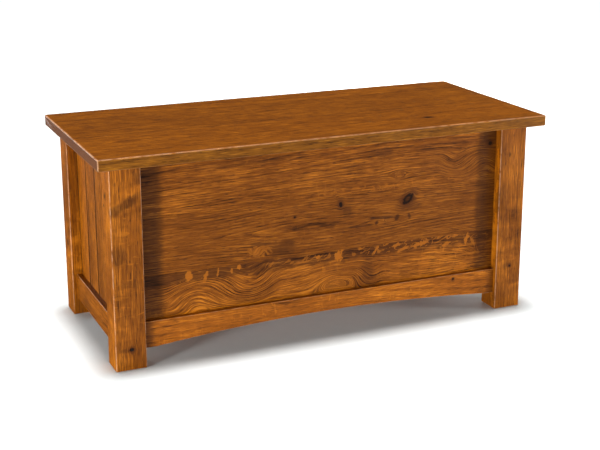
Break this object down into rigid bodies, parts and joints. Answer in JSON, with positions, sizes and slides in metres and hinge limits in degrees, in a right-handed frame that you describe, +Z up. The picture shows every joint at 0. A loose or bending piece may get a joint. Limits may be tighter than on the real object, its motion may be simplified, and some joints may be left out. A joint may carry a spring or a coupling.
{
  "type": "wooden chest",
  "caption": "Low oak storage chest with four posts, arched front rail, recessed panels, boarded sides and a thick lid hinged at the back.",
  "frame": {"origin": "on the floor, under the middle of the lid's outline (centre of the bounding box's base)", "axes": "+X to the right as seen from the front, +Z up, the front faces -Y"},
  "size_m": [1.124, 0.5, 0.503],
  "materials": {
    "stained_oak": "stained, satin lacquer",
    "lid_oak": "stained, satin lacquer",
    "plain_oak": "unstained, sealed",
    "pin_oak": "stained end grain",
    "cedar": "raw, planed",
    "hinge_brass": "aged brass",
    "screw_steel": "zinc plated",
    "bumper_rubber": "matte",
    "glide_nylon": "moulded"
  },
  "bodies": {
    "carcass": {"back_board_1": "stained_oak", "back_board_2": "stained_oak", "back_board_3": "stained_oak", "back_bottom_rail": "stained_oak", "back_floor_ledger": "plain_oak", "back_left_post": "stained_oak", "back_right_post": "stained_oak", "back_top_rail": "stained_oak", "cleat_screws": "screw_steel", "floor_board_1": "cedar", "floor_board_2": "cedar", "floor_board_3": "cedar", "floor_board_4": "cedar", "floor_board_5": "cedar", "floor_board_6": "cedar", "foot_glides": "glide_nylon", "front_arched_rail": "stained_oak", "front_floor_ledger": "plain_oak", "front_left_post": "stained_oak", "front_panel_bottom_board": "stained_oak", "front_panel_middle_board": "stained_oak", "front_panel_top_board": "stained_oak", "front_right_post": "stained_oak", "front_top_cleat": "plain_oak", "hinge_frame_screws": "hinge_brass", "ledger_screws": "screw_steel", "left_bottom_rail": "stained_oak", "left_floor_ledger": "plain_oak", "left_hinge_frame_leaf": "hinge_brass", "left_hinge_pin": "hinge_brass", "left_side_board_1": "stained_oak", "left_side_board_2": "stained_oak", "left_side_board_3": "stained_oak", "left_side_board_4": "stained_oak", "left_top_cleat": "plain_oak", "lid_bumpers": "bumper_rubber", "middle_hinge_frame_leaf": "hinge_brass", "middle_hinge_pin": "hinge_brass", "right_bottom_rail": "stained_oak", "right_floor_ledger": "plain_oak", "right_hinge_frame_leaf": "hinge_brass", "right_hinge_pin": "hinge_brass", "right_side_board_1": "stained_oak", "right_side_board_2": "stained_oak", "right_side_board_3": "stained_oak", "right_side_board_4": "stained_oak", "right_top_cleat": "plain_oak", "tenon_pins": "pin_oak"},
    "lid": {"batten_screws": "screw_steel", "hinge_lid_screws": "hinge_brass", "left_hinge_lid_leaf": "hinge_brass", "lid_back_board": "lid_oak", "lid_front_board": "lid_oak", "lid_left_batten": "lid_oak", "lid_middle_board": "lid_oak", "lid_right_batten": "lid_oak", "middle_hinge_lid_leaf": "hinge_brass", "right_hinge_lid_leaf": "hinge_brass"}
  },
  "joints": [
    {"name": "lid_hinge", "type": "hinge", "parent": "carcass", "child": "lid", "pos_m": [0, 0.2435, 0.4728], "axis": [-1, 0, 0], "range_deg": [0, 95]}
  ]
}
